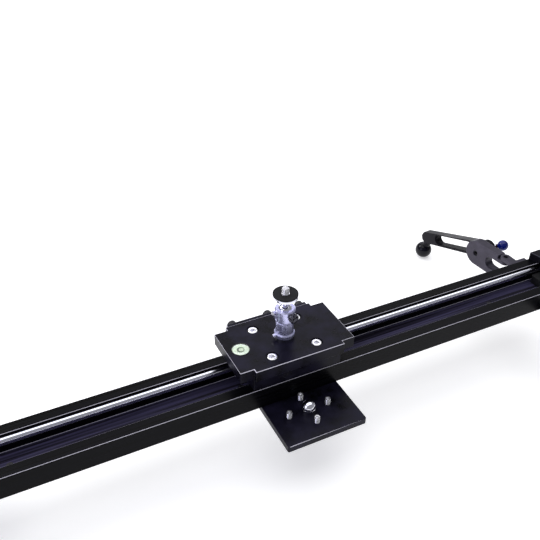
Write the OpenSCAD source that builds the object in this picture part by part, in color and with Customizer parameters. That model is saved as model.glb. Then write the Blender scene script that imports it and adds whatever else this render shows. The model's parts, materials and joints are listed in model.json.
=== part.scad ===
// Camera slider: a channel rail with two guide rods, a four-roller carriage
// that carries a mini ball head, an offset tripod plate and four folding legs
// with ball feet.
// Origin: on the ground, under the middle of the rail, with the slider on its legs.
// +X runs along the rail, +Y to its rear side and +Z up. Heights below are measured
// from the rail's underside, and stand() lifts every part to its place on the legs.

/* [Rail] */
// Length over both end blocks
overall_len = 664; // [600:2:720]
// Width of the rail over its outer walls
rail_w = 55; // [54:0.5:58]
// Height of the rail
rail_h = 21.4; // [21:0.2:23]
// Thickness of the channel floor
floor_t = 3.3; // [3:0.1:4]
// Distance between the channel's side walls
channel_w = 31; // [30.6:0.1:32]
// Distance between the lips above the guide rods
lip_gap = 33.6; // [33.6:0.1:34.4]
// Diameter of a guide rod
rod_d = 8; // [7.6:0.1:8]
// Distance between the guide rods' centre lines
rod_gap = 34; // [34:0.1:34.4]
// Height of the guide rods' centre lines
rod_z = 14.3; // [14:0.1:14.6]

/* [End blocks] */
// Thickness of the end plate
end_plate_t = 6; // [5:0.5:8]
// Reach of the end block's roof over the channel
roof_reach = 16; // [14:0.5:18]
// Height of the roof's top
roof_top = 30.2; // [29:0.2:31]
// Depth of the curve in the roof's inner edge
roof_curve = 4.5; // [3:0.5:6]

/* [Carriage] */
// Length of the top plate over its end tabs
plate_len = 110; // [104:1:116]
// Width of the end tabs
tab_w = 56; // [52:0.2:58]
// Length of the plate's wide middle part
plate_mid_len = 85; // [80:1:90]
// Width of the plate's wide middle part
plate_mid_w = 64.4; // [62:0.2:68]
// Height of the top plate's upper face
plate_top = 47.6; // [47:0.1:48]
// Thickness of the top plate
plate_t = 11; // [10:0.5:12]
// Distance between the plate screws along the rail
screw_dx = 43.2; // [42:0.2:45]
// Distance between the plate screws across the rail
screw_dy = 39; // [38:0.2:41]
// Distance between the rollers along the rail
roller_dx = 60; // [50:1:66]

/* [Ball head] */
// Radius of the head's foot ring and ball cup
head_r = 9.1; // [9:0.1:9.6]
// Height of the camera platform's face
head_top = 94; // [93.6:0.2:98]
// Radius of the camera platform
platform_r = 11; // [9:0.5:14]

/* [Tripod plate] */
// Width of the plate along the rail
base_w = 75.6; // [70:0.2:80]
// Distance from the rail's middle to the plate's front edge
base_front = 78; // [74:1:84]
// Thickness of the plate
base_t = 6; // [5:0.5:8]
// Offset of the plate's middle along the rail
base_offset = 2.5; // [0:0.5:3]
// Distance from the rail's middle to the tripod socket
socket_y = 48; // [47:0.5:50]

/* [Legs] */
// Distance of the legs' swing axes from the rail's middle, along the rail
leg_x = 297.4; // [270:0.2:298]
// Distance of the legs' swing axes from the rail's middle, across it
leg_y = 42; // [42:0.2:44]
// Turn of each arm towards the middle of the rail
leg_toe = 4.9; // [0:0.1:8]
// Thickness of the arms and legs
leg_t = 11.2; // [11:0.1:11.6]
// Distance from the swing axis to the fold axis
arm_len = 37.5; // [37:0.5:45]
// Slope of the outer legs below the horizontal
leg_slope = 19.3; // [15:0.1:30]
// Distance from the fold axis to the tip's centre
leg_len = 97; // [92:1:110]
// Radius of a ball foot
foot_r = 10.3; // [8:0.1:10.5]

/* [Hidden] */
$fn = 64;
cut = 1;        // how far a cutter runs past the faces that it opens
joint_gap = 0.3;   // between faces that turn past each other
run_gap = 0.05;    // radial clearance of a pin in its bore

end_x = overall_len / 2;
rail_half = end_x - end_plate_t;
wall_y = rail_w / 2;
rod_r = rod_d / 2;
rod_y = rod_gap / 2;
rod_seat = 3;      // depth of the rods' ends in the end plates
base_back = wall_y;
plate_z = plate_top - plate_t;

// Carriage block, between the top plate and the rail
block_len = plate_mid_len;
block_w = 55;
block_z = 22.4;

// Grooved rollers that run on the inner sides of the rods
roller_r = 6.5;
roller_h = 8;
roller_y = 8.2;
roller_bore_r = 2;
groove_r = rod_r + 0.1;

// Ball head
pan_z = plate_top + 2;     // the housing turns on the foot ring at this height
post_r = 6.4;
post_top = plate_top + 12.4;
shaft_r = 7.9;
cup_z = 68;
cup_top = 79;
ball_z = 75;
ball_r = 7;
neck_r = 3;
collar_z = ball_z + head_r + 0.7;
knob_turn = -80;   // direction of the ball lock knob about +Z, from +X
pan_lock_z = pan_z + 2;
pan_lock_turn = 185;
drag_z = 74;
drag_turn = 165;

// Leg section, in each leg's own frame: +y outward, +x to the slider's end
arm_top = 21;
arm_mid_z = 6.4;
arm_half_h = arm_top - arm_mid_z;
arm_slot_top = 12.6;
arm_slot_low = -1;
tongue_t = 3.9;    // of the bracket's tongues, over and under the arm's end
lap_top = arm_top - tongue_t;
lap_low = arm_mid_z - arm_half_h + tongue_t;
pin_r = 2.5;
bolt_r = 3;
leg_in_x = leg_t / 2 + joint_gap;
leg_out_x = leg_in_x + leg_t;
leg_root_h = 9.3;
leg_tip_h = 7.4;
foot_along = 109.3;
foot_drop = 19.1;
hub_in_x = leg_out_x + joint_gap;
lever_ball_r = 6.2;

// Height of the rail's underside above the ground
stand_h = foot_r - arm_mid_z + foot_along * sin(leg_slope) + foot_drop * cos(leg_slope);

// Puts a part at its height above the ground
module stand() {
    translate([0, 0, stand_h]) children();
}

// Child shapes at (+-dx, +-dy)
module at_corners(dx, dy) {
    for (sx = [-1, 1], sy = [-1, 1]) translate([sx * dx, sy * dy, 0]) children();
}

module rounded_rect(w, h, r) {
    square([w - 2 * r, h], center = true);
    square([w, h - 2 * r], center = true);
    for (sx = [-1, 1], sy = [-1, 1])
        translate([sx * (w / 2 - r), sy * (h / 2 - r)]) circle(r);
}

// A slot between two points of a plane along its first axis
module slot_2d(from, to, r) {
    translate([from, 0]) circle(r);
    translate([to, 0]) circle(r);
    translate([from, -r]) square([to - from, 2 * r]);
}

// Socket head screw, its head's underside at z = 0 and its shank below
module cap_screw(head_r, head_h, shank_r, shank_l) {
    difference() {
        union() {
            cylinder(r = head_r, h = head_h);
            translate([0, 0, -shank_l]) cylinder(r = shank_r, h = shank_l + head_h / 2);
        }
        translate([0, 0, head_h * 0.4]) cylinder(r = shank_r * 0.62, h = head_h, $fn = 6);
    }
}

// Countersunk screw, its face at z = 0
module flat_screw(head_r, shank_r, shank_l) {
    difference() {
        union() {
            translate([0, 0, -(head_r - shank_r)])
                cylinder(r1 = shank_r, r2 = head_r, h = head_r - shank_r);
            translate([0, 0, -shank_l]) cylinder(r = shank_r, h = shank_l - 0.5);
        }
        translate([0, 0, -1.6]) cylinder(r = shank_r * 0.6, h = 2, $fn = 6);
    }
}

module flat_screw_hole(head_r, shank_r, depth) {
    translate([0, 0, -(head_r - shank_r)])
        cylinder(r1 = shank_r, r2 = head_r, h = head_r - shank_r);
    translate([0, 0, -depth]) cylinder(r = shank_r, h = depth);
    cylinder(r = head_r, h = cut);
}

// ---------------------------------------------------------------- rail

floor_screw_x = [-242, -42, 42, 242];
base_screw_dx = 26;
base_screw_dy = 9;
end_screw_y = 22;
end_screw_z = 10.7;
bracket_screw_x = 10.5;
bracket_screw_z = [6, 15.5];

module rail_profile() {
    difference() {
        translate([-wall_y, 0]) square([rail_w, rail_h]);
        translate([-channel_w / 2, floor_t]) square([channel_w, rail_h]);
        translate([-lip_gap / 2, rod_z]) square([lip_gap, rail_h]);
        for (side = [-1, 1]) translate([side * rod_y, rod_z]) circle(rod_r);
    }
}

module rail_channel() {
    color("#1c1c22")
    difference() {
        translate([-rail_half, 0, 0]) rotate([90, 0, 90])
            linear_extrude(2 * rail_half) rail_profile();
        for (x = floor_screw_x) translate([x, 0, floor_t]) flat_screw_hole(2.8, 1.5, floor_t + cut);
        translate([base_offset, 0, floor_t])
            at_corners(base_screw_dx, base_screw_dy) flat_screw_hole(4.4, 2.5, floor_t + cut);
        for (ex = [-1, 1], sy = [-1, 1])
            translate([ex * rail_half, sy * end_screw_y, end_screw_z]) rotate([0, -ex * 90, 0])
                translate([0, 0, -cut]) cylinder(r = 2, h = 12 + cut);
        for (ex = [-1, 1], sy = [-1, 1]) leg_frame(ex, sy) for (z = bracket_screw_z)
            translate([bracket_screw_x, wall_y - leg_y - 6, z]) rotate([-90, 0, 0])
                cylinder(r = 2, h = 6 + cut);
    }
}

module guide_rod(side) {
    color("#d8dae0")
    translate([-rail_half - rod_seat, side * rod_y, rod_z]) rotate([0, 90, 0])
        cylinder(r = rod_r, h = 2 * (rail_half + rod_seat));
}

module channel_floor_screws() {
    color("#3a3a40")
    for (x = floor_screw_x) translate([x, 0, floor_t]) flat_screw(2.8, 1.5, floor_t);
}

// ---------------------------------------------------------------- end blocks

module end_block(side) {
    roof_r = (pow(wall_y, 2) + pow(roof_curve, 2)) / (2 * roof_curve);
    color("#24242a")
    mirror([side < 0 ? 1 : 0, 0, 0])
    difference() {
        union() {
            translate([rail_half, -wall_y, 0]) cube([end_plate_t, rail_w, roof_top]);
            translate([end_x - roof_reach, -wall_y, rail_h])
                cube([roof_reach, rail_w, roof_top - rail_h]);
        }
        // rounded outer corners
        for (sy = [-1, 1]) difference() {
            translate([end_x - 4, sy < 0 ? -wall_y - cut : wall_y - 4, -cut])
                cube([4 + cut, 4 + cut, roof_top + 2 * cut]);
            translate([end_x - 4, sy * (wall_y - 4), -2 * cut]) cylinder(r = 4, h = roof_top + 4 * cut);
        }
        // curved inner edge of the roof
        translate([end_x - roof_reach + roof_curve - roof_r, 0, rail_h - cut])
            cylinder(r = roof_r, h = roof_top, $fn = 128);
        // room above the channel
        translate([end_x - roof_reach - cut, -lip_gap / 2, rail_h - cut])
            cube([roof_reach + cut - end_plate_t, lip_gap, 1.6 + cut]);
        for (sy = [-1, 1]) {
            translate([rail_half - cut, sy * rod_y, rod_z]) rotate([0, 90, 0])
                cylinder(r = rod_r, h = rod_seat + cut);
            translate([end_x, sy * end_screw_y, end_screw_z]) rotate([0, 90, 0])
                flat_screw_hole(4, 2, end_plate_t + cut);
        }
    }
}

module end_block_screws() {
    color("#3a3a40")
    for (ex = [-1, 1], sy = [-1, 1])
        translate([ex * end_x, sy * end_screw_y, end_screw_z]) rotate([0, ex * 90, 0])
            flat_screw(4, 2, end_plate_t + 11);
}

// Rubber stop that lies on the channel floor against the end plate
module bumper(side) {
    bumper_len = 17.5;
    color("#141416")
    mirror([side < 0 ? 1 : 0, 0, 0])
    translate([rail_half - bumper_len / 2, 0, floor_t]) linear_extrude(9)
        rounded_rect(bumper_len, 24, 2);
}

// ---------------------------------------------------------------- tripod plate

stud_dx = 19;
stud_dy = 15;
stud_r = 2.5;
socket_r = 6;
socket_bore_r = 4;   // tapping radius of a 3/8 in thread

module at_studs() {
    for (p = [[-stud_dx, 0], [stud_dx, 0], [0, -stud_dy], [0, stud_dy]])
        translate([p[0], p[1] - socket_y, 0]) children();
}

module base_plate() {
    depth = base_front + base_back;
    color("#1a1a1e")
    difference() {
        translate([base_offset, (base_back - base_front) / 2, -base_t])
            linear_extrude(base_t) rounded_rect(base_w, depth, 1.5);
        translate([0, -socket_y, -base_t - cut]) cylinder(r = socket_r, h = base_t + 2 * cut);
        translate([0, 0, -base_t - cut]) at_studs() cylinder(r = stud_r, h = base_t + 2 * cut);
        translate([base_offset, 0, -base_t + 1])
            at_corners(base_screw_dx, base_screw_dy) cylinder(r = 2.5, h = base_t + cut);
    }
}

module base_plate_screws() {
    color("#4a4a50")
    translate([base_offset, 0, floor_t])
        at_corners(base_screw_dx, base_screw_dy) flat_screw(4.4, 2.5, floor_t + base_t - 1);
}

// Domed, threaded socket: a tripod's 3/8 in stud screws in from below
module tripod_socket() {
    color("#e0e2e8")
    translate([0, -socket_y, 0])
    difference() {
        union() {
            translate([0, 0, -base_t]) cylinder(r = socket_r, h = base_t + 4.2);
            translate([0, 0, 4.2]) sphere(socket_r);
        }
        translate([0, 0, -base_t - cut]) cylinder(r = socket_bore_r, h = base_t + 4 + cut);
    }
}

module levelling_studs() {
    color("#c8cad2")
    at_studs() difference() {
        translate([0, 0, -base_t]) cylinder(r = stud_r, h = base_t + 5.8);
        translate([0, 0, 3.8]) cylinder(r = 1.4, h = 3, $fn = 6);
    }
}

// ---------------------------------------------------------------- legs

// A leg's frame with the arm square to the rail, at its swing axis
module leg_frame(ex, sy) {
    translate([ex * leg_x, sy * leg_y, 0])
        mirror([ex < 0 ? 1 : 0, 0, 0]) mirror([0, sy < 0 ? 1 : 0, 0]) children();
}

// The same frame turned with the arm, as the legs stand at rest
module arm_frame(ex, sy) {
    leg_frame(ex, sy) rotate([0, 0, leg_toe]) children();
}

// The fold axis along +x, with the outer leg's length along +y
module fold_frame(ex, sy) {
    arm_frame(ex, sy) translate([0, arm_len, arm_mid_z]) rotate([-leg_slope, 0, 0]) children();
}

// Extrudes a (y, z) outline from x1 to x2
module extrude_x(x1, x2) {
    translate([x1, 0, 0]) rotate([90, 0, 90]) linear_extrude(x2 - x1) children();
}

module leg_bracket(ex, sy) {
    wall = wall_y - leg_y;
    back_t = 4.6;
    half = leg_t / 2;
    color("#5c5a68")
    leg_frame(ex, sy)
    difference() {
        union() {
            translate([-half, wall, arm_mid_z - arm_half_h])
                cube([half + 17, back_t, 2 * arm_half_h]);
            for (z = [arm_mid_z - arm_half_h, lap_top]) {
                translate([-half, wall + 1, z]) cube([leg_t, -wall - 1, tongue_t]);
                translate([0, 0, z]) cylinder(r = half, h = tongue_t);
            }
        }
        translate([0, 0, arm_mid_z - arm_half_h - cut])
            cylinder(r = pin_r, h = 2 * arm_half_h + 2 * cut);
        for (z = bracket_screw_z) translate([bracket_screw_x, wall + back_t, z])
            rotate([-90, 0, 0]) {
                translate([0, 0, -back_t - cut]) cylinder(r = 2, h = back_t + 2 * cut);
                translate([0, 0, -1.6]) cylinder(r = 3.6, h = 3);
            }
    }
}

module leg_bracket_screws() {
    color("#3a3a40")
    for (ex = [-1, 1], sy = [-1, 1]) leg_frame(ex, sy) for (z = bracket_screw_z)
        translate([bracket_screw_x, wall_y - leg_y + 3, z]) rotate([-90, 0, 0])
            cap_screw(3.5, 2.6, 2, 8.5);
}

// Two short pins on each swing axis, pressed into the bracket's tongues and sunk in them
module leg_swing_pins() {
    sunk = 1.4;
    pin_top = arm_top - sunk;
    pin_low = arm_mid_z - arm_half_h + sunk;
    color("#2c2c32")
    for (ex = [-1, 1], sy = [-1, 1]) leg_frame(ex, sy) {
        difference() {
            translate([0, 0, arm_slot_top]) cylinder(r = pin_r, h = pin_top - arm_slot_top);
            translate([0, 0, pin_top - 1.8]) cylinder(r = 1.5, h = 3, $fn = 6);
        }
        translate([0, 0, pin_low]) cylinder(r = pin_r, h = arm_slot_low - pin_low);
    }
}

module inner_arm(ex, sy) {
    half = leg_t / 2;
    shoulder = half + 0.4;
    slot_mid = (arm_slot_top + arm_slot_low) / 2;
    slot_r = (arm_slot_top - arm_slot_low) / 2;
    slot_end = 21.3;
    play = 0.1;   // between the arm's end and the bracket's tongues
    color("#8c8a98")
    arm_frame(ex, sy)
    difference() {
        union() {
            extrude_x(-half, half) {
                translate([shoulder, arm_mid_z - arm_half_h])
                    square([arm_len - shoulder, 2 * arm_half_h]);
                translate([0, lap_low + play])
                    square([shoulder + cut, lap_top - lap_low - 2 * play]);
                translate([arm_len, arm_mid_z]) circle(arm_half_h);
            }
            translate([0, 0, lap_low + play])
                cylinder(r = half, h = lap_top - lap_low - 2 * play);
        }
        extrude_x(-half - cut, half + cut) {
            translate([-half - cut, slot_mid - slot_r])
                square([slot_end - slot_r + half + cut, 2 * slot_r]);
            translate([slot_end - slot_r, slot_mid]) circle(slot_r);
        }
        translate([0, 0, arm_mid_z - arm_half_h - cut])
            cylinder(r = pin_r + run_gap, h = 2 * arm_half_h + 2 * cut);
        translate([-half - cut, arm_len, arm_mid_z]) rotate([0, 90, 0])
            cylinder(r = bolt_r, h = leg_t + 2 * cut);
    }
}

// Fixed in the inner arm; the outer leg and the lever turn on it
module hinge_bolt(ex, sy) {
    color("#b8bac2")
    fold_frame(ex, sy) rotate([0, 90, 0]) difference() {
        translate([0, 0, -leg_t / 2 + 1.4])
            cylinder(r = bolt_r, h = hub_in_x + 5 + leg_t / 2 - 1.4);
        translate([0, 0, -leg_t / 2]) cylinder(r = 1.7, h = 3.4, $fn = 6);
    }
}

module outer_leg(ex, sy) {
    window_r = 6;
    tip = leg_len + 6.4;
    bevel = 4.4;
    neck_r = 4.6;
    neck_turn = atan2(foot_drop - 2, foot_along - leg_len + 2);
    color("#6e6c7a")
    fold_frame(ex, sy)
    difference() {
        union() {
            extrude_x(leg_in_x, leg_out_x) {
                polygon([[0, -leg_root_h], [tip - bevel, -leg_tip_h], [tip, bevel - leg_tip_h],
                         [tip, leg_tip_h - bevel], [tip - bevel, leg_tip_h], [0, leg_root_h]]);
                circle(leg_root_h + 1);
            }
            // neck that carries the foot
            translate([(leg_in_x + leg_out_x) / 2, leg_len - 2, -2]) rotate([-neck_turn, 0, 0])
                rotate([-90, 0, 0]) cylinder(r = neck_r, h = 14);
        }
        extrude_x(leg_in_x - cut, leg_out_x + cut)
            translate([0, 0.6]) slot_2d(23, 73, window_r);
        translate([leg_in_x - cut, 0, 0]) rotate([0, 90, 0])
            cylinder(r = bolt_r + run_gap, h = leg_t + 2 * cut);
        translate([(leg_in_x + leg_out_x) / 2, leg_len - 2, -2]) rotate([-neck_turn, 0, 0])
            rotate([-90, 0, 0]) translate([0, 0, 5]) cylinder(r = 2.5, h = 10);
        translate([(leg_in_x + leg_out_x) / 2, foot_along, -foot_drop]) sphere(foot_r + run_gap);
    }
}

module ball_foot(ex, sy) {
    neck_turn = atan2(foot_drop - 2, foot_along - leg_len + 2);
    color("#18181c")
    fold_frame(ex, sy) {
        translate([(leg_in_x + leg_out_x) / 2, foot_along, -foot_drop]) sphere(foot_r);
        translate([(leg_in_x + leg_out_x) / 2, leg_len - 2, -2]) rotate([-neck_turn, 0, 0])
            rotate([-90, 0, 0]) translate([0, 0, 5]) cylinder(r = 2.5, h = 12);
    }
}

lever_y = -12.1;
lever_z = 7.6;
lever_x = 24;

// Clamping lever on the fold axis: hub, slanting stem and ball
module lock_lever(ex, sy) {
    hub_h = 5.6;
    reach = norm([lever_y, lever_z]);
    rise = lever_x - hub_in_x - hub_h / 2;
    color("#1c3c9c")
    arm_frame(ex, sy) translate([0, arm_len, arm_mid_z])
    difference() {
        union() {
            translate([hub_in_x, 0, 0]) rotate([0, 90, 0]) cylinder(r = 4.8, h = hub_h);
            translate([hub_in_x + hub_h / 2, 0, 0]) rotate([atan2(lever_z, lever_y), 0, 0])
                rotate([0, 0, -atan2(rise, reach)]) rotate([-90, 0, 0])
                    cylinder(r = 2, h = norm([reach, rise]));
            translate([lever_x, lever_y, lever_z]) sphere(lever_ball_r);
        }
        translate([hub_in_x - cut, 0, 0]) rotate([0, 90, 0])
            cylinder(r = bolt_r + run_gap, h = 5.3 + cut);
    }
}

// ---------------------------------------------------------------- carriage

module carriage_top_plate() {
    color("#1e1e22")
    difference() {
        translate([0, 0, plate_z]) linear_extrude(plate_t) {
            square([plate_mid_len, plate_mid_w], center = true);
            square([plate_len, tab_w], center = true);
        }
        translate([0, 0, plate_z - cut]) {
            at_corners(screw_dx / 2, screw_dy / 2) {
                cylinder(r = 2.6, h = plate_t + 2 * cut);
                translate([0, 0, 6 + cut]) cylinder(r = 5.4, h = plate_t);
            }
            cylinder(r = 4.8, h = plate_t + 2 * cut);
        }
        translate([bubble_x, 0, plate_top - 7]) cylinder(r = 8.2, h = 8);
        for (x = bar_screw_x) translate([x, plate_mid_w / 2 - 8, bar_screw_z])
            rotate([-90, 0, 0]) cylinder(r = 2.5, h = 8 + cut);
    }
}

module carriage_block() {
    color("#222228")
    difference() {
        translate([-block_len / 2, -block_w / 2, block_z])
            cube([block_len, block_w, plate_z - block_z]);
        translate([0, 0, block_z - cut]) {
            at_corners(screw_dx / 2, screw_dy / 2) cylinder(r = 2.5, h = plate_z);
            at_corners(roller_dx / 2, roller_y) cylinder(r = 2, h = 9);
            cylinder(r = 4.76, h = plate_z);
        }
    }
}

module top_plate_screws() {
    color("#d4d6dc")
    translate([0, 0, plate_z + 6]) at_corners(screw_dx / 2, screw_dy / 2)
        cap_screw(4.6, 4.6, 2.5, 15);
}

bar_screw_x = [-33.5, 2, 35];
bar_screw_z = plate_top - 4.3;
bar_t = 3.6;

module rear_bar() {
    color("#1e1e22")
    difference() {
        translate([-40, plate_mid_w / 2, plate_z + 0.5]) cube([80, bar_t, plate_t - 0.5]);
        for (x = bar_screw_x) translate([x, plate_mid_w / 2 - cut, bar_screw_z])
            rotate([-90, 0, 0]) cylinder(r = 2.5, h = bar_t + 2 * cut);
    }
}

module rear_bar_screws() {
    color("#2c2c32")
    for (x = bar_screw_x) translate([x, plate_mid_w / 2 + bar_t, bar_screw_z])
        rotate([-90, 0, 0]) cap_screw(4.3, 4.4, 2.5, bar_t + 7);
}

bubble_x = -42.2;

module bubble_level_cup() {
    color("#202024")
    translate([bubble_x, 0, plate_top - 7]) difference() {
        cylinder(r = 8.2, h = 7.4);
        translate([0, 0, 1.2]) cylinder(r = 7.6, h = 8);
    }
}

module bubble_level_vial() {
    color("#c8e8c0")
    translate([bubble_x, 0, plate_top - 5.8]) cylinder(r = 7.6, h = 6);
}

module roller(ex, sy) {
    color("#c0c2ca")
    translate([ex * roller_dx / 2, sy * roller_y, rod_z]) rotate_extrude() difference() {
        translate([roller_bore_r + run_gap, -roller_h / 2])
            square([roller_r - roller_bore_r - run_gap, roller_h]);
        translate([rod_y - roller_y, 0]) circle(groove_r);
    }
}

// Shoulder screws: head under the roller, spacing collar over it, thread in the block
module roller_axles() {
    below = rod_z - roller_h / 2 - joint_gap;
    above = rod_z + roller_h / 2 + joint_gap;
    color("#9a9ca4")
    at_corners(roller_dx / 2, roller_y) {
        translate([0, 0, below - 2.4]) cylinder(r = 3.6, h = 2.4);
        translate([0, 0, below - 1]) cylinder(r = roller_bore_r, h = block_z + 7 - below);
        translate([0, 0, above]) cylinder(r = 3.4, h = block_z - above);
    }
}

// ---------------------------------------------------------------- ball head

module head_mounting_stud() {
    color("#a8aab2")
    translate([0, 0, block_z + 1]) cylinder(r = 4.76, h = post_top - 2 - block_z - 1);
}

// Foot ring and post, screwed down on the stud; the housing turns on the post
module head_base() {
    color("#e2e4ea")
    rotate_extrude() polygon([
        [4.76, plate_top], [head_r - 0.4, plate_top], [head_r - 0.4, pan_z],
        [post_r, pan_z], [post_r, post_top], [0, post_top],
        [0, post_top - 2], [4.76, post_top - 2]]);
}

// Shaft and ball cup in one, slotted at the back for upright shots
module head_housing() {
    flange_top = pan_z + 3.2;
    low = pan_z + joint_gap;
    color("#dadce2")
    difference() {
        rotate_extrude() polygon([
            [0, low], [head_r, low], [head_r, flange_top], [shaft_r, flange_top + 1.2],
            [shaft_r, cup_z - 3], [shaft_r - 0.6, cup_z - 2.4], [shaft_r - 0.6, cup_z - 1.4],
            [head_r, cup_z], [head_r, cup_top - 1], [head_r - 1, cup_top], [0, cup_top]]);
        cylinder(r = post_r + run_gap, h = post_top + 0.5);
        translate([0, 0, ball_z]) sphere(ball_r + run_gap);
        translate([0, 0, ball_z]) cylinder(r = 5.6, h = 10);
        translate([-neck_r - 0.4, 0, ball_z]) cube([2 * neck_r + 0.8, 12, 10]);
        translate([0, 0, ball_z]) rotate([-90, 0, 0]) cylinder(r = neck_r + 0.4, h = 12);
        rotate([0, 0, knob_turn]) translate([ball_r - 1, 0, ball_z - 0.5])
            rotate([0, 90, 0]) cylinder(r = 2 + run_gap, h = 4);
        rotate([0, 0, pan_lock_turn]) translate([post_r - 1, 0, pan_lock_z])
            rotate([0, 90, 0]) cylinder(r = 1 + run_gap, h = 4);
        rotate([0, 0, drag_turn]) translate([ball_r - 1, 0, drag_z])
            rotate([0, 90, 0]) cylinder(r = 1 + run_gap, h = 4);
    }
}

module pan_lock_screw() {
    color("#f0f0f4")
    rotate([0, 0, pan_lock_turn]) translate([0, 0, pan_lock_z]) rotate([0, 90, 0]) {
        translate([0, 0, post_r + 0.3]) cylinder(r = 1, h = 4);
        translate([0, 0, head_r + joint_gap]) cylinder(r = 1.9, h = 2.6, $fn = 12);
    }
}

// Sets how stiffly the ball turns
module ball_drag_screw() {
    color("#f0f0f4")
    rotate([0, 0, drag_turn]) translate([0, 0, drag_z]) rotate([0, 90, 0]) {
        translate([0, 0, ball_r + 0.3]) cylinder(r = 1, h = 4);
        translate([0, 0, head_r + joint_gap]) cylinder(r = 1.9, h = 2.2, $fn = 12);
    }
}

module ball_lock_knob() {
    color("#9a9ca6")
    rotate([0, 0, knob_turn]) translate([0, 0, ball_z - 0.5]) rotate([0, 90, 0]) {
        translate([0, 0, ball_r + 0.3]) cylinder(r = 2, h = 4);
        translate([0, 0, head_r + joint_gap]) cylinder(r = 4.4, h = 5);
    }
}

module ball_stem() {
    platform_z = head_top - pad_t - platform_t;
    color("#ccced6")
    difference() {
        union() {
            translate([0, 0, ball_z]) sphere(ball_r);
            translate([0, 0, ball_z]) cylinder(r = neck_r, h = platform_z + 1 - ball_z);
            translate([0, 0, collar_z]) cylinder(r = 4.3, h = platform_z + 1 - collar_z);
            translate([0, 0, platform_z]) cylinder(r = platform_r, h = platform_t);
        }
        translate([0, 0, head_top - 10]) cylinder(r = 2.4, h = 12);
    }
}

pad_t = 1.4;
platform_t = 3;

module platform_pad() {
    color("#161618")
    translate([0, 0, head_top - pad_t]) difference() {
        cylinder(r = platform_r, h = pad_t);
        translate([0, 0, -cut]) cylinder(r = 3.6, h = pad_t + 2 * cut);
    }
}

// A 1/4 in camera screw, threaded into the stem
module camera_screw() {
    color("#e8eaf0")
    union() {
        translate([0, 0, head_top - 10]) cylinder(r = 2.4, h = 10);
        translate([0, 0, head_top - pad_t]) cylinder(r = 3.6, h = pad_t);
        translate([0, 0, head_top]) cylinder(r = 3.175, h = 5.5);
    }
}

stand() rail_channel();
stand() guide_rod(-1);  // front_guide_rod
stand() guide_rod(1);  // rear_guide_rod
stand() end_block(-1);  // left_end_block
stand() end_block(1);  // right_end_block
stand() end_block_screws();
stand() bumper(-1);  // left_bumper
stand() bumper(1);  // right_bumper
stand() channel_floor_screws();
stand() base_plate();
stand() base_plate_screws();
stand() tripod_socket();
stand() levelling_studs();
stand() leg_bracket_screws();
stand() leg_swing_pins();
stand() leg_bracket(-1, -1);  // front_left_leg_bracket
stand() leg_bracket(1, -1);  // front_right_leg_bracket
stand() leg_bracket(-1, 1);  // rear_left_leg_bracket
stand() leg_bracket(1, 1);  // rear_right_leg_bracket
stand() inner_arm(-1, -1);  // front_left_inner_arm
stand() inner_arm(1, -1);  // front_right_inner_arm
stand() inner_arm(-1, 1);  // rear_left_inner_arm
stand() inner_arm(1, 1);  // rear_right_inner_arm
stand() hinge_bolt(-1, -1);  // front_left_hinge_bolt
stand() hinge_bolt(1, -1);  // front_right_hinge_bolt
stand() hinge_bolt(-1, 1);  // rear_left_hinge_bolt
stand() hinge_bolt(1, 1);  // rear_right_hinge_bolt
stand() outer_leg(-1, -1);  // front_left_outer_leg
stand() outer_leg(1, -1);  // front_right_outer_leg
stand() outer_leg(-1, 1);  // rear_left_outer_leg
stand() outer_leg(1, 1);  // rear_right_outer_leg
stand() ball_foot(-1, -1);  // front_left_ball_foot
stand() ball_foot(1, -1);  // front_right_ball_foot
stand() ball_foot(-1, 1);  // rear_left_ball_foot
stand() ball_foot(1, 1);  // rear_right_ball_foot
stand() lock_lever(-1, -1);  // front_left_lock_lever
stand() lock_lever(1, -1);  // front_right_lock_lever
stand() lock_lever(-1, 1);  // rear_left_lock_lever
stand() lock_lever(1, 1);  // rear_right_lock_lever
stand() carriage_block();
stand() carriage_top_plate();
stand() top_plate_screws();
stand() rear_bar();
stand() rear_bar_screws();
stand() bubble_level_cup();
stand() bubble_level_vial();
stand() roller_axles();
stand() roller(-1, -1);  // front_left_roller
stand() roller(1, -1);  // front_right_roller
stand() roller(-1, 1);  // rear_left_roller
stand() roller(1, 1);  // rear_right_roller
stand() head_mounting_stud();
stand() head_base();
stand() head_housing();
stand() pan_lock_screw();
stand() ball_drag_screw();
stand() ball_lock_knob();
stand() ball_stem();
stand() platform_pad();
stand() camera_screw();
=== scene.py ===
"""Looks of a tabletop camera slider: black anodised rail with chrome guide rods,
carriage with a mini ball head and a bubble level, tripod plate and four folding legs."""

import json
import math

import bmesh
import bpy
from mathutils import Matrix, Vector


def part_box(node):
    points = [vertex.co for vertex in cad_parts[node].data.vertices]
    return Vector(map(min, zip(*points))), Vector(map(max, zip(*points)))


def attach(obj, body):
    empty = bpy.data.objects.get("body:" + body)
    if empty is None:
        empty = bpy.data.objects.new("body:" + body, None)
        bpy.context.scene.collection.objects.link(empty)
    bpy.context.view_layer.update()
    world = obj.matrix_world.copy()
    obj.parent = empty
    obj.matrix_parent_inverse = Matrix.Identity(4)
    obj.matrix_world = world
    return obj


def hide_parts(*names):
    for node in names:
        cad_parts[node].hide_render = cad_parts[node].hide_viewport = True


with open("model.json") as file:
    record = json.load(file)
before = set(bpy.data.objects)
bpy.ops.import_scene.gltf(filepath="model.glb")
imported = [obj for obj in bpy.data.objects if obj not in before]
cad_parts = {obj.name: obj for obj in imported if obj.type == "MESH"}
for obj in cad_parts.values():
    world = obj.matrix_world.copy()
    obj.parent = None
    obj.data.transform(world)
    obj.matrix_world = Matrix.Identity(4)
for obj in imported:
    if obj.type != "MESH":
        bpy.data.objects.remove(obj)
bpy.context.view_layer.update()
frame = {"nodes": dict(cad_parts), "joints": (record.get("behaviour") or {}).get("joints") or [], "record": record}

NODES = frame["nodes"]
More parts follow.
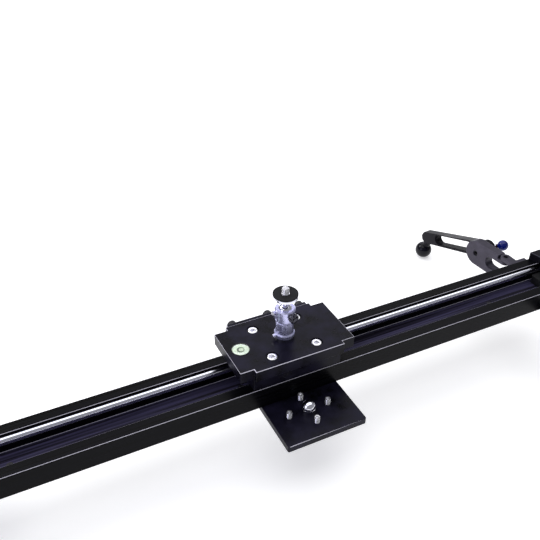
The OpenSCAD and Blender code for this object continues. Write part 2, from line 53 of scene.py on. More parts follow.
JOINTS = {joint["name"]: joint for joint in frame["joints"]}
BODY_OF = {
    node: body
    for body, members in frame["record"]["behaviour"]["bodies"].items()
    for node in members
}
SLOT_OF = {row["node"]: row["material_slot"] for row in frame["record"]["subparts"]}
MM = 0.001
SHARP_BEND = math.radians(32.0)
LEGS = [(f"{row}_{end}", ex, sy) for row, sy in (("front", -1), ("rear", 1))
        for end, ex in (("left", -1), ("right", 1))]
LEG_TOE = math.radians(4.9)      # in plan, from square to the rail
LEG_SLOPE = math.radians(19.3)   # of the outer leg, below level
RAIL_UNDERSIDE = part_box("rail_channel")[0].z
UP = Vector((0, 0, 1))
CHANNEL_MIDDLE = RAIL_UNDERSIDE + 10 * MM   # above the channel's floor, below its lips


# ---------------------------------------------------------------- materials

class Graph:
    """A material's node tree, with short calls for the nodes that repeat."""

    def __init__(self, name):
        self.material = bpy.data.materials.new(name)
        self.material.use_nodes = True
        self.tree = self.material.node_tree
        self.shader = self.tree.nodes["Principled BSDF"]
        self.place = self.node("ShaderNodeTexCoord").outputs["Object"]

    def node(self, kind, **settings):
        made = self.tree.nodes.new(kind)
        for key, value in settings.items():
            setattr(made, key, value)
        return made

    def link(self, source, target):
        self.tree.links.new(source, target)

    def noise(self, stretch, detail=4.0):
        """Noise whose features are about 1 / stretch metres along each axis."""
        mapping = self.node("ShaderNodeMapping")
        mapping.inputs["Scale"].default_value = stretch
        self.link(self.place, mapping.inputs["Vector"])
        noise = self.node("ShaderNodeTexNoise")
        noise.inputs["Scale"].default_value = 1.0
        noise.inputs["Detail"].default_value = detail
        noise.inputs["Roughness"].default_value = 0.55
        self.link(mapping.outputs["Vector"], noise.inputs["Vector"])
        return noise.outputs["Fac"]

    def ramp(self, source, low, high, start=0.3, end=0.7):
        """Maps source from start..end to low..high."""
        node = self.node("ShaderNodeMapRange")
        node.inputs["From Min"].default_value = start
        node.inputs["From Max"].default_value = end
        node.inputs["To Min"].default_value = low
        node.inputs["To Max"].default_value = high
        self.link(source, node.inputs["Value"])
        return node.outputs["Result"]

    def mix(self, factor, first, second):
        node = self.node("ShaderNodeMix", data_type="RGBA")
        for socket, value in ((node.inputs["A"], first), (node.inputs["B"], second)):
            if isinstance(value, tuple):
                socket.default_value = (*value, 1.0)
            else:
                self.link(value, socket)
        self.link(factor, node.inputs["Factor"])
        return node.outputs["Result"]

    def bump(self, source, depth):
        node = self.node("ShaderNodeBump")
        node.inputs["Strength"].default_value = 0.5
        node.inputs["Distance"].default_value = depth
        self.link(source, node.inputs["Height"])
        self.link(node.outputs["Normal"], self.shader.inputs["Normal"])

    def edge_highlight_mask(self):
        """Painted highlight mask: 1 on a square-cut piece's broken top edges, and 0 on its flat faces.

        Edges towards the far side and upright ones stay dark.
        """
        normal = self.node("ShaderNodeNewGeometry").outputs["True Normal"]
        size = self.node("ShaderNodeVectorMath", operation="ABSOLUTE")
        self.link(normal, size.inputs[0])
        parts = self.node("ShaderNodeSeparateXYZ")
        self.link(size.outputs["Vector"], parts.inputs["Vector"])
        largest = parts.outputs["X"]
        for axis in "YZ":
            pair = self.node("ShaderNodeMath", operation="MAXIMUM")
            self.link(largest, pair.inputs[0])
            self.link(parts.outputs[axis], pair.inputs[1])
            largest = pair.outputs["Value"]
        way = self.node("ShaderNodeSeparateXYZ")
        self.link(normal, way.inputs["Vector"])
        edge_highlight = self.ramp(largest, 1.0, 0.0, 0.90, 0.985)
        for allowed in (self.ramp(way.outputs["Z"], 0.0, 1.0, 0.15, 0.3),
                        self.ramp(way.outputs["Y"], 1.0, 0.25, 0.05, 0.4)):
            both = self.node("ShaderNodeMath", operation="MULTIPLY")
            self.link(edge_highlight, both.inputs[0])
            self.link(allowed, both.inputs[1])
            edge_highlight = both.outputs["Value"]
        return edge_highlight

    def low_faces(self, height):
        """1 on level faces that look up and lie below a height, and 0 elsewhere: where the painted floor
        reflection goes.
        """
        place = self.node("ShaderNodeNewGeometry")
        masks = []
        for output, limits in (("True Normal", (0.0, 1.0, 0.85, 0.97)),
                               ("Position", (1.0, 0.0, height, height + 1 * MM))):
            parts = self.node("ShaderNodeSeparateXYZ")
            self.link(place.outputs[output], parts.inputs["Vector"])
            masks.append(self.ramp(parts.outputs["Z"], *limits))
        both = self.node("ShaderNodeMath", operation="MULTIPLY")
        for k, mask in enumerate(masks):
            self.link(mask, both.inputs[k])
        return both.outputs["Value"]

    def set(self, **values):
        for key, value in values.items():
            socket = "Specular IOR Level" if key == "specular" else key.replace("_", " ").title()
            self.shader.inputs[socket].default_value = value


def finish_material(name, dark, light, metallic, rough, cloud, grain, depth, floor_reflection=None,
                    edge_highlight=None, **fixed):
    """A metal or plastic finish: cloudy colour and roughness, a fine grain, and painted edge highlights.

    cloud and grain are noise stretches, and rough is the roughness range. The floor pair is
    two colours of a painted reflection in streaks on a channel's floor, and the edge colour
    is a painted highlight on the broken edges of square-cut pieces.
    """
    graph = Graph(name)
    cloudy = graph.noise(cloud)
    fine = graph.noise(grain, detail=2.0)
    colour = graph.mix(graph.ramp(cloudy, 0.0, 1.0), dark, light)
    # Painted reflection: violet streaks on the channel's floor, for bluish light reflected there
    if floor_reflection:
        reflection_streaks = graph.mix(graph.ramp(cloudy, 0.0, 1.0, 0.4, 0.65), *floor_reflection)
        colour = graph.mix(graph.low_faces(CHANNEL_MIDDLE), colour, reflection_streaks)
    # Painted highlight: broken top edges made lighter, dimmer towards the far side
    if edge_highlight:
        colour = graph.mix(graph.edge_highlight_mask(), colour, edge_highlight)
    graph.link(colour, graph.shader.inputs["Base Color"])
    graph.link(graph.ramp(cloudy, *rough), graph.shader.inputs["Roughness"])
    graph.bump(fine, depth)
    graph.set(metallic=metallic, **fixed)
    return graph.material


def anodised(name, lengthwise):
    """Black anodised aluminium with painted edge highlights; a profile also gets the extrusion's drawn grain and a
    painted reflection on its channel's floor.
    """
    grain = (12.0, 2600.0, 2600.0) if lengthwise else (2400.0, 2400.0, 2400.0)
    cloud = (5.0, 420.0, 420.0) if lengthwise else (60.0, 60.0, 60.0)
    light = (0.003, 0.003, 0.005) if lengthwise else (0.010, 0.009, 0.022)
    # The channel floor's painted reflection, in violet streaks
    floor_reflection = ((0.008, 0.007, 0.012), (0.046, 0.042, 0.088)) if lengthwise else None
    specular = 0.06 if lengthwise else 0.09
    # The edge colour paints a light highlight on the broken top edges
    return finish_material(
        name, (0.001, 0.001, 0.001), light, 0.0, (0.24, 0.36),
        cloud, grain, 0.00003, floor_reflection=floor_reflection, edge_highlight=(0.80, 0.78, 0.90), specular=specular)


MATERIALS = {
    "black_anodised": anodised("black_anodised", False),
    "rail_anodised": anodised("rail_anodised", True),
    # Its edge colour paints a faint highlight on the broken top edges
    "end_block_black": finish_material(
        "end_block_black", (0.003, 0.003, 0.005), (0.008, 0.007, 0.012), 0.0, (0.34, 0.48),
        (60.0, 60.0, 60.0), (2600.0, 2600.0, 2600.0), 0.00005, edge_highlight=(0.06, 0.06, 0.08),
        specular=0.1),
    "chrome_rod": finish_material(
        "chrome_rod", (0.74, 0.74, 0.86), (0.86, 0.86, 0.95), 1.0, (0.12, 0.13),
        (4.0, 90.0, 90.0), (9.0, 300.0, 300.0), 0.0000001),
    "rubber_black": finish_material(
        "rubber_black", (0.005, 0.005, 0.006), (0.012, 0.012, 0.013), 0.0, (0.62, 0.8),
        (90.0, 90.0, 90.0), (3200.0, 3200.0, 3200.0), 0.00012, specular=0.2),
    "black_steel": finish_material(
        "black_steel", (0.008, 0.008, 0.010), (0.022, 0.021, 0.026), 0.3, (0.24, 0.38),
        (240.0, 240.0, 240.0), (3000.0, 3000.0, 3000.0), 0.00003, specular=0.35),
    "bright_steel": finish_material(
        "bright_steel", (0.74, 0.74, 0.78), (0.92, 0.92, 0.95), 0.85, (0.16, 0.28),
        (220.0, 220.0, 220.0), (3400.0, 3400.0, 600.0), 0.00003),
    "polished_chrome": finish_material(
        "polished_chrome", (0.66, 0.66, 0.76), (0.84, 0.84, 0.92), 1.0, (0.07, 0.14),
        (120.0, 120.0, 90.0), (1800.0, 1800.0, 1800.0), 0.00001),
    "dark_chrome": finish_material(
        "dark_chrome", (0.030, 0.030, 0.038), (0.070, 0.068, 0.085), 1.0, (0.10, 0.2),
        (160.0, 160.0, 160.0), (1800.0, 1800.0, 1800.0), 0.00001),
    "brushed_chrome": finish_material(
        "brushed_chrome", (0.52, 0.52, 0.80), (0.66, 0.66, 0.92), 0.8, (0.24, 0.30),
        (160.0, 160.0, 12.0), (900.0, 900.0, 20.0), 0.0000001),
    # Painted shade: a darkened copy of gunmetal, which makes the outer legs darker than the inner arms
    "gunmetal_dark": finish_material(
        "gunmetal_dark", (0.003, 0.003, 0.005), (0.008, 0.007, 0.012), 0.0, (0.30, 0.42),
        (70.0, 70.0, 70.0), (2600.0, 2600.0, 2600.0), 0.00005, specular=0.1),
    "level_cup": finish_material(
        "level_cup", (0.006, 0.006, 0.007), (0.012, 0.012, 0.014), 0.0, (0.18, 0.3),
        (200.0, 200.0, 200.0), (2200.0, 2200.0, 2200.0), 0.00002, coat_weight=0.4),
    # Painted light: the fluid glows a little (emission 0.18) to look brighter
    "level_fluid": finish_material(
        "level_fluid", (0.86, 0.96, 0.83), (0.93, 1.0, 0.90), 0.0, (0.03, 0.06),
        (90.0, 90.0, 90.0), (300.0, 300.0, 300.0), 0.00001, coat_weight=1.0,
        emission_color=(0.75, 0.95, 0.75, 1.0), emission_strength=0.18),
    "gunmetal": finish_material(
        "gunmetal", (0.036, 0.032, 0.046), (0.060, 0.054, 0.076), 0.55, (0.32, 0.44),
        (70.0, 70.0, 70.0), (2600.0, 2600.0, 2600.0), 0.00005, specular=0.3),
    "foot_black": finish_material(
        "foot_black", (0.001, 0.001, 0.003), (0.004, 0.004, 0.009), 0.0, (0.05, 0.1),
        (150.0, 150.0, 150.0), (1600.0, 1600.0, 1600.0), 0.00001, specular=0.2),
    "lever_blue": finish_material(
        "lever_blue", (0.001, 0.004, 0.10), (0.002, 0.010, 0.19), 0.0, (0.08, 0.16),
        (160.0, 160.0, 160.0), (1500.0, 1500.0, 1500.0), 0.00001, specular=0.35),
    "roller_steel": finish_material(
        "roller_steel", (0.42, 0.42, 0.45), (0.60, 0.60, 0.63), 1.0, (0.2, 0.34),
        (260.0, 260.0, 260.0), (300.0, 300.0, 4000.0), 0.00003),
    "level_mark": finish_material(
        "level_mark", (0.16, 0.26, 0.16), (0.22, 0.34, 0.20), 0.0, (0.3, 0.4),
        (300.0, 300.0, 300.0), (900.0, 900.0, 900.0), 0.00001),
    "level_bubble": finish_material(
        "level_bubble", (0.80, 0.95, 0.72), (0.90, 1.0, 0.84), 0.0, (0.04, 0.08),
        (300.0, 300.0, 300.0), (900.0, 900.0, 900.0), 0.00001, coat_weight=1.0),
    "level_crown": finish_material(
        "level_crown", (0.95, 1.0, 0.93), (0.98, 1.0, 0.97), 0.0, (0.0, 0.03),
        (200.0, 200.0, 200.0), (300.0, 300.0, 300.0), 0.000002, transmission_weight=1.0),
    "collar_red": finish_material(
        "collar_red", (0.012, 0.003, 0.006), (0.026, 0.004, 0.008), 0.2, (0.2, 0.32),
        (200.0, 200.0, 200.0), (2400.0, 2400.0, 2400.0), 0.00002),
}


def paint(obj, look):
    obj.data.materials.clear()
    obj.data.materials.append(MATERIALS[look])


# ---------------------------------------------------------------- pieces

def add_piece(name, mesh, body, look, angle=32.0):
    """Links a mesh as a piece that rides on a body, smooth where it bends gently."""
    mesh.shade_smooth()
    mesh.set_sharp_from_angle(angle=math.radians(angle))
    obj = bpy.data.objects.new(name, mesh)
    bpy.context.scene.collection.objects.link(obj)
    paint(obj, look)
    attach(obj, body)
    return obj


def softened(node, width, look=None, shortest=0.0):
    """A copy of a CAD node with its sharp edges broken, which stands for the node.

    Edges under the shortest length, such as those around a hole, stay sharp.
    """
    mesh = NODES[node].data.copy()
    if "custom_normal" in mesh.attributes:
        mesh.attributes.remove(mesh.attributes["custom_normal"])
    shape = bmesh.new()
    shape.from_mesh(mesh)
    bmesh.ops.remove_doubles(shape, verts=shape.verts, dist=0.000005)
    bmesh.ops.dissolve_limit(
        shape, angle_limit=math.radians(0.6), verts=shape.verts, edges=shape.edges)
    weight = shape.edges.layers.float.new("bevel_weight_edge")
    for edge in shape.edges:
        bend = edge.calc_face_angle(0.0)
        edge[weight] = float(bend > SHARP_BEND and edge.calc_length() > shortest)
    shape.to_mesh(mesh)
    shape.free()
    obj = add_piece(f"{node}_finished", mesh, BODY_OF[node], look or SLOT_OF[node])
    bevel = obj.modifiers.new("broken_edges", "BEVEL")
    bevel.width = width
    bevel.segments = 2
    bevel.limit_method = "WEIGHT"
    bevel.harden_normals = True
    # The CAD meshes hold short edges, and a clamp to them would leave no bevel at all
    bevel.use_clamp_overlap = False
    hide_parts(node)
    return obj


def turned(name, rings, body, look, origin, axis, count=64, angle=32.0):
    """A closed body of rings about an axis.

    A ring is (radius, height), either of them a number or a function of the angle.
    A radius of 0 at either end closes it to a point, and another radius to a flat face.
    """
    shape = bmesh.new()
    rows = []
    for radius, height in rings:
        if radius == 0:
            rows.append([shape.verts.new((0, 0, height))])
            continue
        row = []
        for k in range(count):
            turn = 2 * math.pi * k / count
            r = radius(turn) if callable(radius) else radius
            z = height(turn) if callable(height) else height
            row.append(shape.verts.new((r * math.cos(turn), r * math.sin(turn), z)))
        rows.append(row)
    for low, high in zip(rows, rows[1:]):
        for k in range(count):
            after = (k + 1) % count
            if len(low) == 1:
                shape.faces.new((low[0], high[after], high[k]))
            elif len(high) == 1:
                shape.faces.new((low[k], low[after], high[0]))
            else:
                shape.faces.new((low[k], low[after], high[after], high[k]))
    if len(rows[0]) > 1:
        shape.faces.new(list(reversed(rows[0])))
    if len(rows[-1]) > 1:
        shape.faces.new(rows[-1])
    bmesh.ops.recalc_face_normals(shape, faces=shape.faces)
    mesh = bpy.data.meshes.new(name)
    shape.to_mesh(mesh)
    shape.free()
    turn_to = UP.rotation_difference(Vector(axis).normalized()).to_matrix().to_4x4()
    mesh.transform(Matrix.Translation(Vector(origin)) @ turn_to)
    return add_piece(name, mesh, body, look, angle)


def hexagon(across):
    """Radius of a hexagon, as a function of the angle, from half its width across flats."""
    sixth = math.pi / 3
    return lambda turn: across / math.cos((turn % sixth) - sixth / 2)


def knurled(radius, depth, teeth):
    """Radius of a knurled or fluted edge."""
    return lambda turn: radius - depth * (0.5 - 0.5 * math.cos(teeth * turn))


def cap_screw(name, radius, height, body, look, seat, axis):
    """Head of a socket head cap screw, with a knurled side and a hexagon socket."""
    side = knurled(radius, 0.03 * radius, 40)
    socket = hexagon(0.46 * radius)
    rings = [
        (0.6 * radius, -0.6 * height), (0.6 * radius, 0.0), (0.94 * radius, 0.0),
        (side, 0.08 * height), (side, 0.84 * height), (0.95 * radius, 0.93 * height),
        (0.86 * radius, height), (0.60 * radius, height), (socket, 0.97 * height),
        (socket, 0.45 * height), (0.3 * radius, 0.42 * height), (0, 0.34 * height)]
    return turned(name, rings, body, look, seat, axis, count=120, angle=38.0)


def thread_rings(radius, pitch, depth, low, high):
    """Rings of a screw thread between two heights, with a lead-in at the top."""
    rings = []
    rings_per_turn = 8
    total = max(2, int((high - low) / pitch * rings_per_turn))
    for k in range(total + 1):
        height = low + (high - low) * k / total
        lead = min(1.0, (high - height) / (0.8 * pitch) + 0.25)

        def at(turn, height=height, lead=lead):
            phase = (height / pitch - turn / (2 * math.pi)) % 1.0
            flank = 1 - abs(2 * phase - 1)
            return radius - depth + depth * lead * min(1.0, 1.3 * flank)
        rings.append((at, height))
    return rings


# ---------------------------------------------------------------- rail and plates

# Widths of the broken edges in millimetres
SOFT_EDGES = {
    "rail_channel": 0.3, "base_plate": 0.4, "carriage_top_plate": 0.45,
    "carriage_block": 0.3, "rear_bar": 0.3, "left_end_block": 0.6, "right_end_block": 0.6,
    "left_bumper": 0.8, "right_bumper": 0.8,
}
# Nodes whose material isn't the one named like their slot
OTHER_LOOKS = {"rail_channel": "rail_anodised", "head_housing": "brushed_chrome"}
for node, width in SOFT_EDGES.items():
    softened(node, width * MM, OTHER_LOOKS.get(node), shortest=2.0 * MM)
for leg, _, _ in LEGS:
    softened(f"{leg}_inner_arm", 0.7 * MM)
    # The outer legs get painted shade: gunmetal_dark is a darkened copy of the arms' gunmetal
    softened(f"{leg}_outer_leg", 0.7 * MM, "gunmetal_dark")
    softened(f"{leg}_leg_bracket", 0.4 * MM)


# ---------------------------------------------------------------- screws

def at_box_corners(node, inset):
    """Plan positions of the four screws of a group, inset from the corners of its box."""
    low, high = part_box(node)
    return [Vector((x, y, 0)) for x in (low.x + inset, high.x - inset)
            for y in (low.y + inset, high.y - inset)]


PLATE_SCREW_R = 4.6 * MM
plate_screw_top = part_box("top_plate_screws")[1].z
for k, place in enumerate(at_box_corners("top_plate_screws", PLATE_SCREW_R)):
    place.z = plate_screw_top - PLATE_SCREW_R
    screw = cap_screw(f"plate_screw_{k}", PLATE_SCREW_R, PLATE_SCREW_R, "carriage",
                      "bright_steel", place, UP)
    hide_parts("top_plate_screws")

BAR_SCREW_R = 4.3 * MM
BAR_SCREW_H = 4.4 * MM
BAR_SCREW_MIDDLE = 2 * MM
bar_low, bar_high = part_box("rear_bar_screws")
bar_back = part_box("rear_bar")[1].y
for k, x in enumerate((bar_low.x + BAR_SCREW_R, BAR_SCREW_MIDDLE, bar_high.x - BAR_SCREW_R)):
    seat = Vector((x, bar_back, (bar_low.z + bar_high.z) / 2))
    screw = cap_screw(f"rear_bar_screw_{k}", BAR_SCREW_R, BAR_SCREW_H, "carriage",
                      "black_steel", seat, (0, 1, 0))
    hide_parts("rear_bar_screws")


# ---------------------------------------------------------------- tripod plate

def tripod_socket():
    """Polished socket with a turned shoulder, a dome and the thread's mouth below."""
    low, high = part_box("tripod_socket")
    radius = (high.x - low.x) / 2
    centre = (low + high) / 2
    shoulder = high.z - radius
    bore = 4.0 * MM
    depth = low.z + 10 * MM
    rings = [(0, depth - 0.3 * MM), (bore, depth - 0.3 * MM)]
    rings += [(bore + 0.12 * MM * (k % 2), depth + (low.z - depth) * k / 18)
              for k in range(1, 18)]
    rings += [(bore + 0.5 * MM, low.z + 0.01 * MM), (radius - 0.2 * MM, low.z + 0.01 * MM),
              (radius, low.z + 0.3 * MM), (radius, shoulder - 0.9 * MM),
              (radius - 0.25 * MM, shoulder - 0.8 * MM),
              (radius - 0.25 * MM, shoulder - 0.4 * MM), (radius, shoulder - 0.3 * MM)]
    rings += [(radius * math.cos(a), shoulder + radius * math.sin(a))
              for a in (math.radians(step) for step in range(0, 90, 6))]
    rings.append((0, high.z))
    piece = turned("tripod_socket_finished", rings, "rail", "polished_chrome",
                   (centre.x, centre.y, 0), UP, count=72)
    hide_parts("tripod_socket")


def plate_studs():
    """Threaded M5 studs with a hexagon socket in the end."""
    low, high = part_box("levelling_studs")
    radius = 2.5 * MM
    centre = (low + high) / 2
    reach = [(high.x - radius - centre.x, 0), (low.x + radius - centre.x, 0),
             (0, high.y - radius - centre.y), (0, low.y + radius - centre.y)]
    for k, (dx, dy) in enumerate(reach):
        rings = thread_rings(radius, 0.8 * MM, 0.24 * MM, low.z, high.z)
        socket = hexagon(1.25 * MM)
        rings += [(socket, high.z - 0.02 * MM), (socket, high.z - 1.8 * MM),
                  (0, high.z - 2.2 * MM)]
        stud = turned(f"plate_stud_{k}", rings, "rail", "bright_steel",
                      (centre.x + dx, centre.y + dy, 0), UP, count=48, angle=40.0)
        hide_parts("levelling_studs")


tripod_socket()
plate_studs()


# ---------------------------------------------------------------- bubble level

def bubble_level():
    """Green fluid under a clear crown, with a centring circle and an air bubble."""
    low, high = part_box("bubble_level_vial")
    cup_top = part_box("bubble_level_cup")[1].z
    radius = (high.x - low.x) / 2
    centre = (low + high) / 2
    top = high.z
    place = (centre.x, centre.y, 0)
    fluid = turned("level_fluid_body", [
        (radius * 0.96, low.z), (radius * 0.99, low.z + 0.3 * MM), (radius * 0.99, top - 1.5 * MM),
        (radius * 0.9, top - 1.0 * MM), (0, top - 1.0 * MM)],
        "carriage", "level_fluid", place, UP)
    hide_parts("bubble_level_vial")
    turned("level_circle", [
        (2.9 * MM, top - 0.98 * MM), (3.3 * MM, top - 0.98 * MM), (3.3 * MM, top - 0.9 * MM),
        (2.9 * MM, top - 0.9 * MM), (2.9 * MM, top - 0.98 * MM)],
        "carriage", "level_mark", place, UP)
    bubble_r = 2.2 * MM
    turned("level_bubble", [(0, top - 0.99 * MM)] + [
        (bubble_r * math.sin(a), top - 0.75 * MM - 0.22 * MM * math.cos(a))
        for a in (math.radians(step) for step in range(15, 180, 15))]
        + [(0, top - 0.53 * MM)], "carriage", "level_bubble",
        (centre.x + 0.4 * MM, centre.y - 0.3 * MM, 0), UP)
    turned("level_crown", [
        (0, top - 0.5 * MM), (radius * 0.985, top - 0.5 * MM), (radius * 0.985, top - 0.15 * MM),
        (radius * 0.9, top + 0.05 * MM), (radius * 0.55, top + 0.3 * MM), (0, top + 0.4 * MM)],
        "carriage", "level_crown", place, UP)
    cup_r = radius + 0.6 * MM
    cup = turned("level_bezel", [
        (0, low.z - 1.1 * MM), (cup_r, low.z - 1.1 * MM), (cup_r, cup_top - 0.25 * MM),
        (cup_r - 0.2 * MM, cup_top), (radius + 0.1 * MM, cup_top), (radius, cup_top - 0.3 * MM),
        (radius, low.z - 0.01 * MM), (0, low.z - 0.01 * MM)],
        "carriage", "level_cup", place, UP)
    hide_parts("bubble_level_cup")


bubble_level()


# ---------------------------------------------------------------- ball head

def ball_lock_knob():
    """Fluted knob with a dished face, on the cup's side."""
    joint = JOINTS["ball_lock_turn"]
    axis = Vector(joint["axis"])
    head_r = 9.1 * MM
    height = Vector(joint["pos_m"]).z
    rim = knurled(4.4 * MM, 0.5 * MM, 9)
    rings = [
        (2.0 * MM, head_r - 1.8 * MM), (2.0 * MM, head_r + 0.3 * MM),
        (3.7 * MM, head_r + 0.3 * MM), (rim, head_r + 0.8 * MM), (rim, head_r + 4.5 * MM),
        (3.7 * MM, head_r + 5.1 * MM), (3.1 * MM, head_r + 5.3 * MM),
        (2.6 * MM, head_r + 4.9 * MM), (0, head_r + 4.7 * MM)]
    piece = turned("ball_lock_knob_finished", rings, "ball_lock_knob", "dark_chrome",
                   (0, 0, height), axis, count=108, angle=36.0)
    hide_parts("ball_lock_knob")


def thumbscrew(node, joint_name, head_h):
    """Small knurled thumbscrew on the head's side."""
    joint = JOINTS[joint_name]
    start = 9.4 * MM      # from the head's axis to the screw head's underside
    rim = knurled(1.9 * MM, 0.12 * MM, 24)
    rings = [
        (1.0 * MM, start - 2.0 * MM), (1.0 * MM, start), (1.7 * MM, start),
        (rim, start + 0.2 * MM), (rim, start + head_h - 0.3 * MM), (1.5 * MM, start + head_h),
        (0.7 * MM, start + head_h), (0, start + head_h - 0.4 * MM)]
    piece = turned(f"{node}_finished", rings, node, "polished_chrome",
                   (0, 0, Vector(joint["pos_m"]).z), joint["axis"], count=96)
    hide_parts(node)


def camera_screw():
    """1/4 in screw with its real thread of 1.27 mm pitch, on a flat collar."""
    low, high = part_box("camera_screw")
    thread_r = 3.175 * MM
    seat = high.z - 5.5 * MM
    rings = [(2.4 * MM, low.z), (2.4 * MM, seat - 1.4 * MM), (3.55 * MM, seat - 1.4 * MM),
             (3.55 * MM, seat - 0.02 * MM)]
    rings += thread_rings(thread_r, 1.27 * MM, 0.5 * MM, seat, high.z)
    piece = turned("camera_screw_finished", rings, "camera_platform", "bright_steel",
                   (0, 0, 0), UP, count=64, angle=40.0)
    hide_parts("camera_screw")


def ball_stem():
    """Ball, slim neck, collar and platform, turned in one piece."""
    centre_z = Vector(JOINTS["head_tilt"]["pos_m"]).z
    low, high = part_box("ball_stem")
    radius = centre_z - low.z
    platform_r = (high.x - low.x) / 2
    neck_r, collar_r = 3.0 * MM, 4.3 * MM
    collar_z = centre_z + 9.8 * MM
    under = high.z - 3 * MM
    leave = math.asin(neck_r / radius)
    rings = [(0, low.z)]
    rings += [(radius * math.sin(a), centre_z - radius * math.cos(a))
              for a in (math.radians(step) for step in range(8, 152, 8))]
    rings += [(neck_r, centre_z + radius * math.cos(leave)), (neck_r, collar_z),
              (collar_r - 0.3 * MM, collar_z), (collar_r, collar_z + 0.3 * MM),
              (collar_r, under - 0.6 * MM), (collar_r + 0.6 * MM, under),
              (platform_r - 0.5 * MM, under),
              (knurled(platform_r, 0.14 * MM, 60), under + 0.5 * MM),
              (knurled(platform_r, 0.14 * MM, 60), high.z - 0.4 * MM),
              (platform_r - 0.3 * MM, high.z - 0.02 * MM)]
    piece = turned("ball_stem_finished", rings, "camera_platform", "polished_chrome",
                   (0, 0, 0), UP, count=120, angle=40.0)
    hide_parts("ball_stem")


ball_lock_knob()
thumbscrew("pan_lock_screw", "pan_lock_turn", 2.6 * MM)
thumbscrew("ball_drag_screw", "ball_drag_turn", 2.2 * MM)
camera_screw()
ball_stem()


# ---------------------------------------------------------------- legs

FOOT_R = 10.3 * MM
ARM_T = 11.2 * MM        # thickness of the inner arm
BOLT_SUNK = 1.4 * MM
HUB_START = 17.4 * MM    # along the fold axis, from the inner arm's middle
HUB_R = 4.8 * MM
LEVER_BALL_R = 6.2 * MM


def leg_axes(ex, sy):
    """Directions along the fold axis and along the arm, in plan."""
    along = Vector((ex * math.cos(LEG_TOE), sy * math.sin(LEG_TOE), 0))
    outward = Vector((-ex * math.sin(LEG_TOE), sy * math.cos(LEG_TOE), 0))
    return along, outward


def ball_foot(leg, ex, sy):
    """Moulded ball with a seam line, on a short stem."""
    low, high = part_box(f"{leg}_ball_foot")
    end_y = high.y - FOOT_R if sy > 0 else low.y + FOOT_R
    centre = Vector(((low.x + high.x) / 2, end_y, low.z + FOOT_R))
    fold = Vector(JOINTS[f"{leg}_leg_fold"]["pos_m"])
    along, outward = leg_axes(ex, sy)
    down = outward * math.cos(LEG_SLOPE) - UP * math.sin(LEG_SLOPE)
    drop = -outward * math.sin(LEG_SLOPE) - UP * math.cos(LEG_SLOPE)
    root = fold + along * 11.5 * MM + down * 95 * MM + drop * 2 * MM
    axis = (root - centre).normalized()
    rings = [(0, -FOOT_R)]
    for step in range(8, 156, 4):
        a = math.radians(step)
        seam = 0.18 * MM if step == 92 else 0.0
        rings.append(((FOOT_R - seam) * math.sin(a), -(FOOT_R - seam) * math.cos(a)))
    rings += [(3.1 * MM, FOOT_R * 0.93), (3.1 * MM, FOOT_R + 0.3 * MM),
              (2.5 * MM, FOOT_R + 0.4 * MM), (2.5 * MM, FOOT_R + 6 * MM)]
    piece = turned(f"{leg}_ball_foot_finished", rings, f"{leg}_leg", "foot_black",
                   centre, axis, count=72, angle=50.0)
    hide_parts(f"{leg}_ball_foot")


def hinge_bolt(leg, ex, sy):
    """Blackened bolt with a hexagon socket, sunk in the inner arm."""
    fold = Vector(JOINTS[f"{leg}_leg_fold"]["pos_m"])
    along, _ = leg_axes(ex, sy)
    radius = 3.0 * MM
    face = BOLT_SUNK - ARM_T / 2
    socket = hexagon(1.7 * MM)
    rings = [(0, face + 2.2 * MM), (socket, face + 2.0 * MM), (socket, face + 0.02 * MM),
             (radius - 0.3 * MM, face), (radius, face + 0.3 * MM), (radius, HUB_START + 4.6 * MM),
             (radius - 0.4 * MM, HUB_START + 5.0 * MM)]
    piece = turned(f"{leg}_hinge_bolt_finished", rings, f"{leg}_arm", "black_steel",
                   fold, along, count=72, angle=40.0)
    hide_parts(f"{leg}_hinge_bolt")


def lock_lever(leg, ex, sy):
    """Hub, tapered stem, dark red collar and blue ball of a clamping lever."""
    fold = Vector(JOINTS[f"{leg}_leg_fold"]["pos_m"])
    along, outward = leg_axes(ex, sy)
    body = f"{leg}_lever"
    hub_h = 5.6 * MM
    socket = hexagon(1.5 * MM)
    start = fold + along * HUB_START
    hub = turned(f"{leg}_lever_hub", [
        (HUB_R - 0.6 * MM, 0), (HUB_R, 0.5 * MM), (HUB_R, hub_h - 0.8 * MM),
        (HUB_R - 0.8 * MM, hub_h), (2.6 * MM, hub_h), (socket, hub_h - 0.05 * MM),
        (socket, hub_h - 1.6 * MM), (0, hub_h - 1.9 * MM)],
        body, "black_steel", start, along, count=72, angle=40.0)
    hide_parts(f"{leg}_lock_lever")
    foot = fold + along * (HUB_START + hub_h / 2)
    ball = fold + along * 24 * MM - outward * 12.1 * MM + UP * 7.6 * MM
    stem = (ball - foot).normalized()
    length = (ball - foot).length
    root = HUB_R - 0.9 * MM
    neck = length - LEVER_BALL_R
    turned(f"{leg}_lever_stem", [
        (2.6 * MM, root), (2.6 * MM, root + 1.2 * MM), (2.0 * MM, neck - 2.2 * MM),
        (2.0 * MM, neck + 1 * MM)], body, "bright_steel", foot, stem, count=40)
    turned(f"{leg}_lever_collar", [
        (2.0 * MM, neck - 1.6 * MM), (2.9 * MM, neck - 1.4 * MM), (2.9 * MM, neck - 0.2 * MM),
        (2.3 * MM, neck + 0.5 * MM)], body, "collar_red", foot, stem, count=48)
    rings = [(2.2 * MM, -LEVER_BALL_R * 0.93)]
    rings += [(LEVER_BALL_R * math.sin(a), -LEVER_BALL_R * math.cos(a))
              for a in (math.radians(step) for step in range(28, 180, 6))]
    rings.append((0, LEVER_BALL_R))
    turned(f"{leg}_lever_ball", rings, body, "lever_blue", ball, stem, count=64,
           angle=60.0)


for leg, ex, sy in LEGS:
    ball_foot(leg, ex, sy)
    hinge_bolt(leg, ex, sy)
    lock_lever(leg, ex, sy)


# ---------------------------------------------------------------- the rest of the frame

for name, obj in NODES.items():
    paint(obj, OTHER_LOOKS.get(name, SLOT_OF[name]))


# ---------------------------------------------------------------- studio

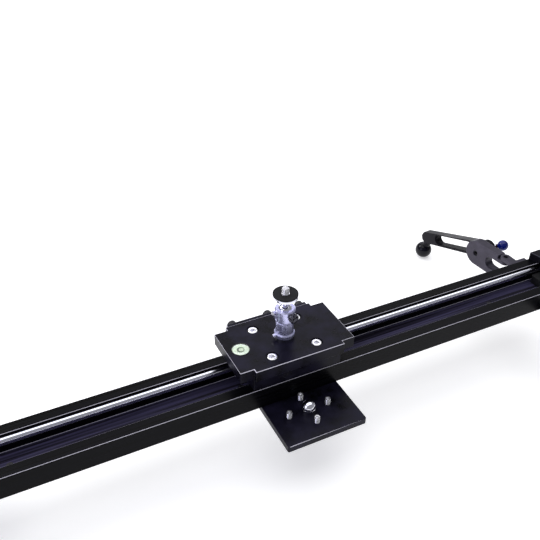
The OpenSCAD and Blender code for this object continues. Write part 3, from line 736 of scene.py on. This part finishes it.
floor_mesh = bpy.data.meshes.new("floor")
EXTENT = 6.0
floor_mesh.from_pydata(
    [(-EXTENT, -EXTENT, 0), (EXTENT, -EXTENT, 0), (EXTENT, EXTENT, 0), (-EXTENT, EXTENT, 0)],
    [], [(0, 1, 2, 3)])
floor = bpy.data.objects.new("floor", floor_mesh)
bpy.context.scene.collection.objects.link(floor)
pale = Graph("floor_pale")
pale.link(pale.mix(pale.ramp(pale.noise((6.0, 6.0, 6.0)), 0.0, 1.0),
                   (0.86, 0.86, 0.87), (0.90, 0.90, 0.90)), pale.shader.inputs["Base Color"])
pale.set(roughness=0.7, emission_color=(1.0, 1.0, 1.0, 1.0), emission_strength=0.45)
floor_mesh.materials.append(pale.material)


# The camera stands in front of the slider and to its left, and looks down on it
CAMERA_PLACE = Vector((-0.22675, -0.41855, RAIL_UNDERSIDE + 0.44506))
CAMERA_YAW = math.radians(26.84)     # from +Y towards +X
CAMERA_PITCH = math.radians(34.55)   # below the horizon
CAMERA_ROLL = math.radians(0.75)
CAMERA_LENS = 46.82

camera_data = bpy.data.cameras.new("camera")
camera_data.sensor_width = 36.0
camera_data.lens = CAMERA_LENS
camera_data.clip_start = 0.01
camera = bpy.data.objects.new("camera", camera_data)
bpy.context.scene.collection.objects.link(camera)
bpy.context.scene.camera = camera
camera.matrix_world = (
    Matrix.Translation(CAMERA_PLACE)
    @ Matrix.Rotation(-CAMERA_YAW, 4, "Z")
    @ Matrix.Rotation(math.pi / 2 - CAMERA_PITCH, 4, "X")
    @ Matrix.Rotation(CAMERA_ROLL, 4, "Z"))


def soft_light(name, place, target, size, power, tint=(1.0, 1.0, 1.0)):
    """Rectangular area light at a place, turned towards a target."""
    data = bpy.data.lights.new(name, "AREA")
    data.shape = "RECTANGLE"
    data.size, data.size_y = size
    data.energy = power
    data.color = tint
    obj = bpy.data.objects.new(name, data)
    bpy.context.scene.collection.objects.link(obj)
    obj.location = place
    obj.rotation_euler = (Vector(target) - Vector(place)).to_track_quat("-Z", "Y").to_euler()


soft_light("overhead", (0.1, 0.5, 2.2), (0.1, 0.1, 0.05), (4.2, 3.0), 60.0)
soft_light("key", (-0.9, 1.2, 1.2), (0, 0, 0.05), (0.8, 0.5), 8.0)
soft_light("left", (-1.5, -0.2, 0.7), (0, 0, 0.05), (0.9, 0.9), 5.0, (0.74, 0.74, 1.0))
soft_light("far", (0.9, 2.4, 1.3), (0.2, 0, 0.05), (1.6, 0.6), 9.0, (0.86, 0.84, 1.0))
world = bpy.data.worlds.new("studio")
bpy.context.scene.world = world
world.use_nodes = True
world.node_tree.nodes["Background"].inputs["Color"].default_value = (0.95, 0.96, 1.0, 1.0)
world.node_tree.nodes["Background"].inputs["Strength"].default_value = 0.3
bpy.context.scene.view_settings.view_transform = "Standard"
